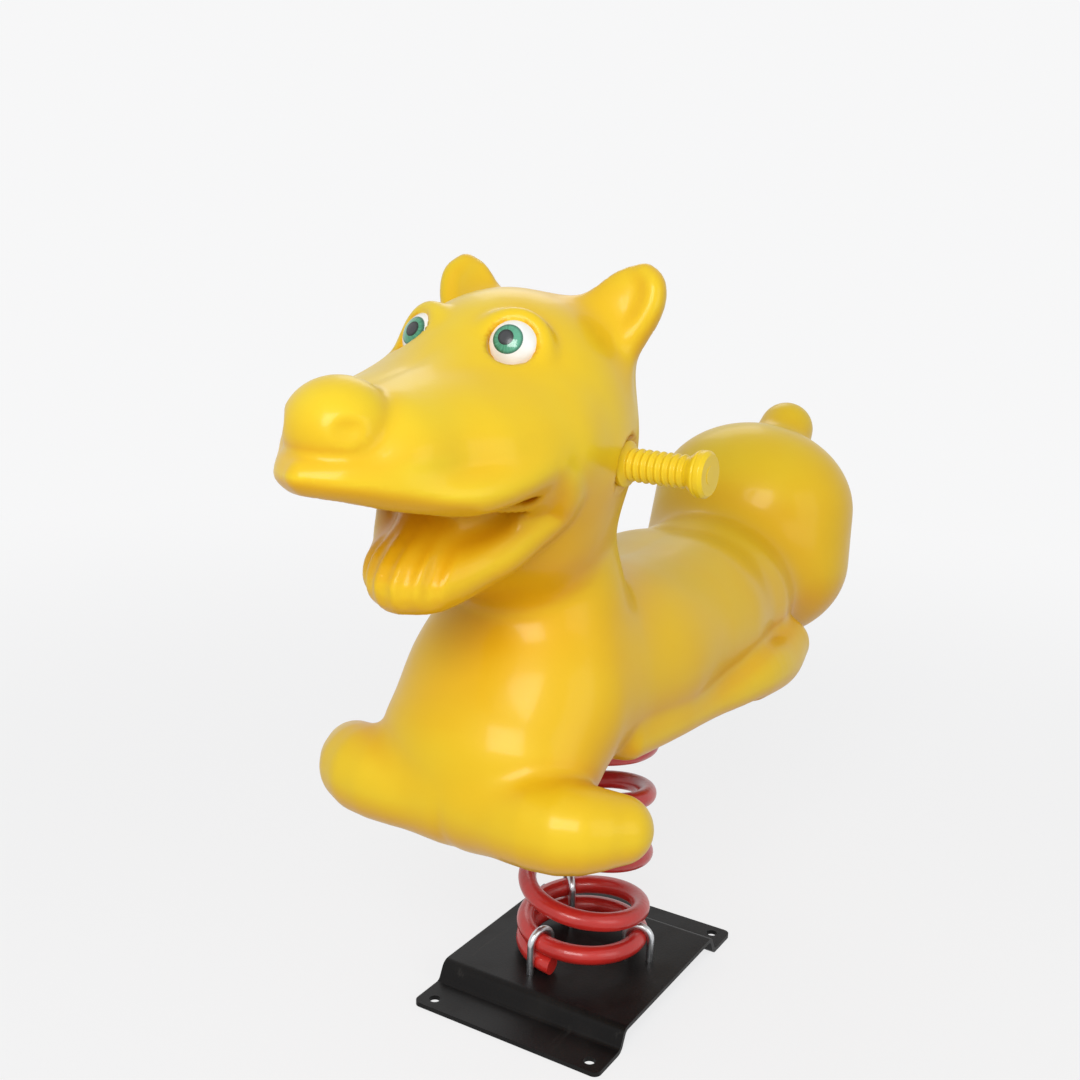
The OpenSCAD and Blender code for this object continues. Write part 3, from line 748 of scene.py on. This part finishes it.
grid_axes, grid_values = sample(GRID)
print("grid:", grid_values.shape, "points")

# %% [markdown]
# A cell that the skin passes through gets one point, in the middle of the places where the
# skin cuts its edges. Each grid edge that the skin cuts gets one face, from the points of the
# four cells round it, which gives even quads.

# %% A net over the skin
def net(axes, values):
    """One point in each cut cell, one quad round each cut edge."""
    inside = values < 0
    shape = np.array(values.shape) - 1

    def corner(offset):
        return tuple(slice(o, o + n) for o, n in zip(offset, shape))

    total = sum(inside[corner(offset)].astype(int) for offset in np.ndindex(2, 2, 2))
    cut = (total > 0) & (total < 8)
    cells = np.argwhere(cut)
    number = np.full(cut.shape, -1)
    number[cut] = np.arange(len(cells))
    spots, hits = np.zeros((len(cells), 3)), np.zeros(len(cells))
    for axis in range(3):
        for place in np.ndindex(2, 2):
            first, second = [np.insert(np.array(place), axis, end) for end in (0, 1)]
            one = values[tuple((cells + first).T)]
            two = values[tuple((cells + second).T)]
            crossed = (one < 0) != (two < 0)
            t = np.where(crossed, one / np.where(one == two, 1, one - two), 0)
            spots += crossed[:, None] * (first + (second - first) * t[:, None])
            hits += crossed
    grid = axes[1][1] - axes[1][0]
    points = np.array([a[0] for a in axes]) + grid * (cells + spots / hits[:, None])
    quads = []
    for axis in range(3):
        step = np.eye(3, dtype=int)
        u, v = step[(axis + 1) % 3], step[(axis + 2) % 3]
        ahead = tuple(slice(1, None) if i == axis else slice(None) for i in range(3))
        behind = tuple(slice(None, -1) if i == axis else slice(None) for i in range(3))
        edges = np.argwhere(inside[behind] != inside[ahead])
        edges = edges[np.all(edges - u - v >= 0, axis=1)]
        outward = inside[tuple(edges.T)]
        round_edge = np.stack([number[tuple((edges - u - v).T)], number[tuple((edges - v).T)],
                               number[tuple(edges.T)], number[tuple((edges - u).T)]], axis=1)
        round_edge[~outward] = round_edge[~outward][:, ::-1]
        quads.append(round_edge)
    return points, np.concatenate(quads)


skin_points, skin_quads = net(grid_axes, grid_values)
print("skin:", len(skin_points), "points,", len(skin_quads), "quads")

# %% [markdown]
# The net's points lie near the skin, not on it. They slide along the field's slope until they
# do, are evened out so that the quads are alike, and slide once more.

# %% Points on the skin
SLOPE_REACH = 0.4
LEAST_SLOPE = 0.25
EVEN_PULL = 0.6

def slope(points):
    """The direction away from the skin."""
    g = np.stack([animal(points + SLOPE_REACH * e) - animal(points - SLOPE_REACH * e)
                  for e in np.eye(3)], axis=1)
    return g / (2 * SLOPE_REACH)


def settle(points):
    """Slides points along the slope on to the skin."""
    for _ in range(2):
        g = slope(points)
        far = animal(points)
        move = (far / np.maximum((g * g).sum(1), LEAST_SLOPE))[:, None] * g
        length = np.linalg.norm(move, axis=1, keepdims=True)
        points = points - move * np.minimum(1, GRID / np.maximum(length, TINY))
    return points


def even_out(points, quads, rounds):
    """Moves each point towards the middle of its neighbours, along the skin only."""
    edges = np.concatenate([quads[:, [i, (i + 1) % 4]] for i in range(4)])
    edges = np.concatenate([edges, edges[:, ::-1]])
    count = np.bincount(edges[:, 0], minlength=len(points))[:, None]
    for _ in range(rounds):
        middle = np.zeros_like(points)
        for axis in range(3):
            middle[:, axis] = np.bincount(edges[:, 0], points[edges[:, 1], axis], len(points))
        shift = middle / count - points
        g = slope(points)
        g /= np.maximum(np.linalg.norm(g, axis=1, keepdims=True), TINY)
        points = points + EVEN_PULL * (shift - (shift * g).sum(1, keepdims=True) * g)
    return points


skin_points = settle(skin_points)
skin_points = settle(even_out(skin_points, skin_quads, 2))
print("furthest point off the skin:", np.abs(animal(skin_points)).max().round(3), "mm")

# %% [markdown]
# Every piece that we make ourselves ends in the same way. It rides on one of the part's
# bodies and stands for a solid, which is hidden.

# %% From points to a piece
MM = 0.001

def piece(name, points, faces, material):
    mesh = bpy.data.meshes.new(name)
    mesh.from_pydata([tuple(p) for p in points], [], [tuple(f) for f in faces])
    mesh.materials.append(material)
    mesh.polygons.foreach_set("use_smooth", [True] * len(mesh.polygons))
    mesh.update()
    made = bpy.data.objects.new(name, mesh)
    scene.collection.objects.link(made)
    return made


def finish_piece(made, body, slot, *nodes):
    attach(made, body)
    if nodes:
        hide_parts(*nodes)
    print(made.name, "rides on", body, "with", len(made.data.polygons), "faces")


body_skin = piece("rider_body", skin_points * MM, skin_quads, body_plastic)
finish_piece(body_skin, "rider", "yellow_plastic", "rider_shell")

# %% [markdown]
# Creases are found by the same field: stand a little off the skin and ask how far the
# nearest skin is. In the open the answer is the distance we stepped, and in a crease it is
# less. Longer steps tell in the same way which places are closed in. Painted shade goes on
# those places, on faces that look down and on the lower body, and a deeper painted shade
# goes in the creases. Both numbers are stored on the points, where the plastic reads them.

# %% Painted shade in creases and closed-in places
CREASE_STEPS, SHADE_STEPS = (8.0, 16.0), (30.0, 70.0, 150.0)
LOW_UNDER, LOW_OVER = 620, 160
DOWN_SHARE, LOW_SHARE = 1.3, 0.25

skin_out = slope(skin_points)
skin_out /= np.linalg.norm(skin_out, axis=1, keepdims=True)

def closed_in(reaches):
    """How much nearer the skin is than in the open, at some steps off it."""
    share = [np.clip(1 - animal(skin_points + far * skin_out) / far, 0, 1) for far in reaches]
    return sum(share) / len(reaches)


# painted shade: closed-in places, downward faces and the lower body
low_down = np.clip((LOW_UNDER - skin_points[:, 2]) / LOW_OVER, 0, 1)
looks_down = np.clip(-skin_out[:, 2], 0, 1)
painted_shade = closed_in(SHADE_STEPS) + DOWN_SHARE * looks_down + LOW_SHARE * low_down
stored = {"crease_shade": closed_in(CREASE_STEPS), "painted_shade": np.clip(painted_shade, 0, 1)}
for label, amount in stored.items():
    column = body_skin.data.attributes.new(label, "FLOAT", "POINT")
    column.data.foreach_set("value", amount.astype(np.float32))
    print(label, "mean", amount.mean().round(3), "most", amount.max().round(3))

# %% [markdown]
# The spring and the grips follow rules, and Geometry Nodes can run a rule. One class makes a
# tree with named sizes, and turns its result into a plain mesh, because the export drops live
# trees.

# %% A geometry tree with named sizes
class Tree(Desk):
    """A geometry tree with named inputs."""

    def __init__(self, name, sizes):
        tree = bpy.data.node_groups.new(name, "GeometryNodeTree")
        super().__init__(tree)
        tree.interface.new_socket("Geometry", in_out="OUTPUT", socket_type="NodeSocketGeometry")
        self.ids = {}
        for label in sizes:
            made = tree.interface.new_socket(label, in_out="INPUT", socket_type="NodeSocketFloat")
            self.ids[label] = made.identifier
        group = tree.nodes.new("NodeGroupInput")
        self.size = {label: Value(self, group.outputs[label]) for label in sizes}
        self.end = tree.nodes.new("NodeGroupOutput")

    def line(self, count):
        """A curve of so many points, to be moved on to a rule."""
        straight = self.node("GeometryNodeMeshLine", None, {"Count": count})
        return self.node("GeometryNodeMeshToCurve", None, {0: straight})

    def limit(self, value, low, high):
        return self.node("ShaderNodeClamp", None, {"Value": value, "Min": low, "Max": high})

    def close(self, geometry, material):
        smooth = self.node("GeometryNodeSetShadeSmooth", None, {0: geometry})
        real = self.node("GeometryNodeRealizeInstances", None, {0: smooth})
        painted = self.node("GeometryNodeSetMaterial", None, {0: real, "Material": material})
        self.feed(self.end.inputs[0], painted)

    def make(self, name, sizes):
        """Runs the tree once and keeps the result as a plain mesh."""
        holder = bpy.data.objects.new(name + "_tree", bpy.data.meshes.new(name + "_empty"))
        scene.collection.objects.link(holder)
        modifier = holder.modifiers.new("tree", "NODES")
        modifier.node_group = self.tree
        for label, value in sizes.items():
            modifier[self.ids[label]] = value
        ready = holder.evaluated_get(bpy.context.evaluated_depsgraph_get())
        mesh = bpy.data.meshes.new_from_object(ready)
        bpy.data.objects.remove(holder)
        mesh.name = name
        made = bpy.data.objects.new(name, mesh)
        scene.collection.objects.link(made)
        return made


print("a tree offers: line, limit, close, make")

# %% [markdown]
# The spring is the one piece whose whole shape follows a rule: the wire turns steadily while
# its climb goes from tight turns at the ends to open turns in the middle. It could be screwed
# out of a circle, but the climb would then be even. A line of points can be moved on to the
# true rule and swept with a round wire.

# %% The spring's rule
WIRE, COIL_OUTER = 0.020, 0.147
TIGHT_RISE, OPEN_RISE = 0.021, 0.069
TURNS = 6.0
COIL_LOW = 0.0353
COIL_START = -0.25
WIRE_SIDES = 24

def spring_tree():
    tree = Tree("spring_wire", ["from turn", "to turn", "steps", "wire", "outer", "low",
                                "tight rise", "open rise", "turns"])
    size = tree.size
    path = tree.line(size["steps"])
    index = tree.node("GeometryNodeInputIndex")
    turn = size["from turn"] + (size["to turn"] - size["from turn"]) * index / (size["steps"] - 1)
    early = tree.limit(turn - 1, 0, 1)
    late = tree.limit(turn - (size["turns"] - 2), 0, 1)
    opened = tree.limit(turn - 2, 0, TURNS) + early * early * 0.5
    closed = tree.limit(turn - (size["turns"] - 1), 0, TURNS) + late * late * 0.5
    steeper = size["open rise"] - size["tight rise"]
    climb = size["tight rise"] * turn + steeper * (opened - closed)
    angle = (COIL_START - turn) * (2 * math.pi)
    radius = (size["outer"] - size["wire"]) * 0.5
    cosine = tree.node("ShaderNodeMath", {"operation": "COSINE"}, {0: angle})
    sine = tree.node("ShaderNodeMath", {"operation": "SINE"}, {0: angle})
    spot = tree.node("ShaderNodeCombineXYZ", None,
                     {"X": radius * cosine, "Y": radius * sine, "Z": climb + size["low"]})
    coil = tree.node("GeometryNodeSetPosition", None, {0: path, "Position": spot})
    level_wire = tree.node("GeometryNodeSetCurveNormal", {"mode": "Z_UP"}, {0: coil})
    round_wire = tree.node("GeometryNodeCurvePrimitiveCircle", {"mode": "RADIUS"},
                           {"Resolution": WIRE_SIDES, "Radius": size["wire"] * 0.5})
    swept = tree.node("GeometryNodeCurveToMesh", None,
                      {"Curve": level_wire, "Profile Curve": round_wire, "Fill Caps": True})
    tree.close(swept, red_paint)
    return tree


wire_rule = spring_tree()
print("the spring climbs", TURNS, "turns")

# %% [markdown]
# The real spring bends about its middle, and a rigid coil would break away from one plate
# when the animal rocks. The coil is made as two halves that meet in the middle.

# %% Two halves of the spring
LEAN_LOW, LEAN_HIGH = (0.06, 0.158), (0.183, 0.285)
HALF_STEPS = 289
MIDDLE = TURNS / 2

halves = [("spring_lower", 0.0, MIDDLE, "base", "spring", LEAN_LOW),
          ("spring_upper", MIDDLE, TURNS, "spring", "rider", LEAN_HIGH)]
for name, first, last, below, above, (start, end) in halves:
    half = wire_rule.make(name, {
        "from turn": first, "to turn": last, "steps": HALF_STEPS, "wire": WIRE,
        "outer": COIL_OUTER, "low": COIL_LOW, "tight rise": TIGHT_RISE,
        "open rise": OPEN_RISE, "turns": TURNS})
    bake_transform(half)
    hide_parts("coil_spring")
    print(name, len(half.data.vertices), "points")

# %% [markdown]
# Plates, nuts and bolts already have their true shapes as solids. What they lack is the
# small round on every edge that catches the light. A copy of each solid is merged, its flat
# triangles are joined, and a Bevel rounds the edges.

# %% Rounded copies of the plates and the hardware
PLATE_ROUND, BOLT_ROUND = 0.0008, 0.0004
SHARP, FLAT = math.radians(30), math.radians(1)

def softened(node, name, round_size, material, slot, body):
    mesh = frame["nodes"][node].data.copy()
    mesh.name = name
    work = bmesh.new()
    work.from_mesh(mesh)
    bmesh.ops.remove_doubles(work, verts=work.verts, dist=1e-6)
    bmesh.ops.dissolve_limit(work, angle_limit=FLAT, verts=work.verts, edges=work.edges)
    work.to_mesh(mesh)
    work.free()
    mesh.materials.clear()
    mesh.materials.append(material)
    mesh.polygons.foreach_set("use_smooth", [True] * len(mesh.polygons))
    copy = bpy.data.objects.new(name, mesh)
    scene.collection.objects.link(copy)
    bevel = copy.modifiers.new("round", "BEVEL")
    bevel.width = round_size
    bevel.segments = 2
    bevel.limit_method = "ANGLE"
    bevel.angle_limit = SHARP
    flat = copy.modifiers.new("flat faces", "WEIGHTED_NORMAL")
    flat.weight = 100
    flat.keep_sharp = True
    ready = copy.evaluated_get(bpy.context.evaluated_depsgraph_get())
    rounded = bpy.data.meshes.new_from_object(ready)
    copy.modifiers.clear()
    copy.data = rounded
    rounded.name = name
    finish_piece(copy, body, slot, node)


for node, name, body in (("base_plate", "base_plate_painted", "base"),
                         ("upper_plate", "belly_plate_painted", "rider")):
    softened(node, name, PLATE_ROUND, plate_paint, "black_steel", body)
for node, body in (("lower_nuts", "base"), ("upper_nuts", "rider"), ("mount_bolts", "rider"),
                   ("lower_washers", "base"), ("upper_washers", "rider"),
                   ("mount_washers", "rider"), ("lower_u_bolts", "base"),
                   ("upper_u_bolts", "rider")):
    softened(node, node + "_plated", BOLT_ROUND, zinc, "zinc_steel", body)

# %% [markdown]
# Each eye is three pressed layers on one ball: a white dome, a green disc and a smaller dark
# one, both set a little towards the nose and up. A scaled ball would bulge too much, so a
# layer is a stack of rings whose height over the socket follows the eye's ball, closed at the
# middle and underneath.

# %% A layer of an eye
EYE_BALL = 25.5
EYE_RIM = 20.0
EYE_SEAT = 0.4
LAYER_RINGS, LAYER_STEPS = 14, 64

def dome_layer(name, side, reach, shift, lift, sink, material):
    """A cap of the eye's ball round a shifted middle, with its own thickness."""
    steps = LAYER_STEPS
    top = EYE_FLOOR + EYE_SEAT + EYE_BALL - math.sqrt(EYE_BALL ** 2 - EYE_RIM ** 2)
    turn = np.arange(steps) * 2 * math.pi / steps

    def row(out, fall):
        x, y = shift[0] + out * np.cos(turn), shift[1] + out * np.sin(turn)
        ball = EYE_BALL + lift - fall
        z = top - EYE_BALL + np.sqrt(ball ** 2 - np.minimum(x * x + y * y, EYE_RIM ** 2))
        return EYE + x[:, None] * EYE_X + y[:, None] * EYE_Y + z[:, None] * EYE_OUT

    outs = reach * np.sin(np.linspace(0.06, math.pi / 2, LAYER_RINGS))
    rows = [row(out, 0) for out in outs] + [row(reach, sink), row(reach * 0.5, sink)]
    middles = [rows[0].mean(0)[None], rows[-1].mean(0)[None]]
    points = np.concatenate(rows + middles) * (side, 1, 1)
    faces = []
    count = len(rows)
    first, last = count * steps, count * steps + 1
    for j in range(steps):
        k = (j + 1) % steps
        for i in range(count - 1):
            near, far = i * steps, (i + 1) * steps
            faces.append((near + j, far + j, far + k, near + k))
        faces.append((first, j, k))
        faces.append((last, (count - 1) * steps + k, (count - 1) * steps + j))
    if side < 0:
        faces = [face[::-1] for face in faces]
    return piece(name, points * MM, faces, material)


print("an eye's layer has", LAYER_RINGS, "rings of", LAYER_STEPS, "points")

# %% [markdown]
# The iris is printed: green spokes that are paler towards one side, and a dark rim. The pupil
# is dark with a greyer middle. Both patterns run round the layer's own middle, so a helper
# gives the place of each point on the disc.

# %% Eye finishes
IRIS_AT, PUPIL_AT = (-3.2, 2.6), (-4.8, 3.6)
GREEN, GREEN_LIGHT = linear("#2E7F5B"), linear("#4E9F7C")
GREEN_PALE, GREEN_RIM = linear("#66B598"), linear("#1F5240")
PUPIL_GREY, PUPIL_DARK = linear("#3A3C3F"), linear("#15211C")
WHITE, WHITE_DULL = linear("#F0F1EF"), linear("#E9EAE7")

def eye_place(finish, side, shift):
    """How far across, up and out a point is from a layer's middle, in metres."""
    flip = np.array([side, 1, 1])
    centre = (EYE + shift[0] * EYE_X + shift[1] * EYE_Y) * flip * MM
    offset = finish.node("ShaderNodeVectorMath", {"operation": "SUBTRACT"},
                         {0: finish.place, 1: tuple(centre)})
    x, y = [finish.node("ShaderNodeVectorMath", {"operation": "DOT_PRODUCT"},
                        {0: offset, 1: tuple(axis * flip)}, "Value") for axis in (EYE_X, EYE_Y)]
    return x, y, (x * x + y * y) ** 0.5


def iris_finish(name, side):
    iris = Finish(name)
    x, y, out = eye_place(iris, side, IRIS_AT)
    around = iris.node("ShaderNodeMath", {"operation": "ARCTAN2"}, {0: y, 1: x})
    spoke = iris.node("ShaderNodeCombineXYZ", None, {"X": around * 7, "Y": out * 120})
    streak = iris.node("ShaderNodeTexNoise", None, {"Vector": spoke, "Scale": 1.0, "Detail": 4})
    green = iris.mix(iris.step(streak, 0.3, 0.7), GREEN, GREEN_LIGHT)
    green = iris.mix(iris.step(x, -0.004, 0.010) * 0.6, green, GREEN_PALE)
    rim = iris.step(out, 0.0100, 0.0122)
    return iris.set(Base_Color=iris.mix(rim * 0.75, green, GREEN_RIM), Roughness=0.14,
                    Coat_Weight=0.4, Coat_Roughness=0.05)


def pupil_finish(name, side):
    pupil = Finish(name)
    out = eye_place(pupil, side, PUPIL_AT)[2]
    tone = pupil.mix(pupil.step(out, 0.0040, 0.0064), PUPIL_GREY, PUPIL_DARK)
    return pupil.set(Base_Color=tone, Roughness=0.2 + pupil.cloud(200) * 0.06)


def white_finish():
    white = Finish("eye_white")
    tone = white.mix(white.step(white.cloud(60), 0.3, 0.7), WHITE, WHITE_DULL)
    return white.set(Base_Color=tone, Roughness=0.16 + white.cloud(120) * 0.06,
                     Normal=white.bump(white.cloud(300, 1) * 0.00002))


eye_white = white_finish()
print("the eyes' white:", eye_white.name)

# %% [markdown]
# The left eye is built where the sockets were described, and the right eye mirrors it point
# by point, with its faces turned round so that they still point outwards.

# %% Both eyes
IRIS_R, IRIS_LIFT = 12.6, 0.35
PUPIL_R, PUPIL_LIFT = 6.6, 0.6
WHITE_SINK, DISC_SINK = 1.6, 1.0

for side, sign in (("left", 1), ("right", -1)):
    white = dome_layer(side + "_white_dome", sign, EYE_RIM, (0, 0), 0, WHITE_SINK, eye_white)
    finish_piece(white, "rider", "white_plastic", side + "_eye_white")
    disc = dome_layer(side + "_green_disc", sign, IRIS_R, IRIS_AT, IRIS_LIFT, DISC_SINK,
                      iris_finish(side + "_iris_green", sign))
    finish_piece(disc, "rider", "green_plastic", side + "_iris")
    spot = dome_layer(side + "_dark_disc", sign, PUPIL_R, PUPIL_AT, PUPIL_LIFT, DISC_SINK,
                      pupil_finish(side + "_pupil_dark", sign))
    finish_piece(spot, "rider", "black_plastic", side + "_pupil")

# %% [markdown]
# A hand grip is a turned shape, so its outline is one rule along the bar: a thin inner
# flange, a sleeve with soft ribs, and a flared outer end. A geometry tree moves a line of
# points along the bar, gives each one its radius by that rule, and sweeps a circle.

# %% The grip's rule
GRIP_STEPS, GRIP_SIDES = 241, 72
RIBS_FROM, RIBS_LONG = 0.009, 0.055
NOTCH_DEEP = 0.0006
BLUNT = 0.45

def grip_tree():
    tree = Tree("ribbed_grip",
                ["side", "start", "length", "sleeve", "inner", "outer", "ribs", "rib"])
    size = tree.size
    path = tree.line(GRIP_STEPS)
    far = tree.node("GeometryNodeInputIndex") / (GRIP_STEPS - 1) * size["length"]

    def rise(low, high):
        return tree.node("ShaderNodeMapRange", {"interpolation_type": "SMOOTHSTEP"},
                         {"Value": far, "From Min": low, "From Max": high})

    ribbed = rise(0.008, 0.011) * (1 - rise(0.062, 0.066))
    wave = tree.node("ShaderNodeMath", {"operation": "SINE"},
                     {0: (far - RIBS_FROM) * (2 * math.pi) * size["ribs"] / RIBS_LONG})
    inner = (1 - rise(0.0045, 0.0085)) * rise(-0.002, 0.0015)
    flare = rise(0.063, 0.0745) * ((1 - BLUNT) + BLUNT * (1 - rise(0.0800, 0.0846)))
    notch = rise(0.0735, 0.0750) * (1 - rise(0.0750, 0.0765))
    radius = (size["sleeve"] + ribbed * wave * size["rib"]
              + inner * (size["inner"] - size["sleeve"])
              + flare * (size["outer"] - size["sleeve"]) - notch * NOTCH_DEEP)
    spot = tree.node("ShaderNodeCombineXYZ", None,
                     {"X": size["side"] * (size["start"] + far),
                      "Y": float(HANDLE[1] * MM), "Z": float(HANDLE[2] * MM)})
    bar = tree.node("GeometryNodeSetPosition", None, {0: path, "Position": spot})
    circle = tree.node("GeometryNodeCurvePrimitiveCircle", {"mode": "RADIUS"},
                       {"Resolution": GRIP_SIDES, "Radius": 1.0})
    swept = tree.node("GeometryNodeCurveToMesh", None,
                      {"Curve": bar, "Profile Curve": circle, "Scale": radius, "Fill Caps": True})
    tree.close(swept, grip_plastic)
    return tree


grip_rule = grip_tree()
print("the grip's rule has", GRIP_STEPS, "steps along the bar")

# %% [markdown]
# The two grips are alike. The same tree makes both, and one size tells it which side of the
# neck the grip points to.

# %% Both grips
GRIP_LONG = 0.0836
GRIP_RIBS, RIB_HIGH = 8, 0.0011
SLEEVE_R, FLANGE_R = 0.0138, 0.0205

for side, sign in (("left", 1), ("right", -1)):
    grip = grip_rule.make(side + "_hand_grip", {
        "side": sign, "start": float(HANDLE[0] * MM), "length": GRIP_LONG, "sleeve": SLEEVE_R,
        "inner": FLANGE_R, "outer": FLANGE_R, "ribs": GRIP_RIBS, "rib": RIB_HIGH})
    finish_piece(grip, "rider", "yellow_plastic", side + "_grip")

# %% [markdown]
# The bar through the neck, the inserts, the grips' screws and the caps over them are plain
# turned parts, and most of each is hidden. Their solids have the right shapes, so they stay
# and only get their finishes.

# %% Bar, inserts, screws and caps
def dress(node, material):
    target = frame["nodes"][node]
    target.data.materials.clear()
    target.data.materials.append(material)


dress("handle_bar", zinc)
dress("threaded_inserts", brass)
dress("grip_screws", zinc)
dress("grip_caps", grip_plastic)
print("the last solids are dressed")
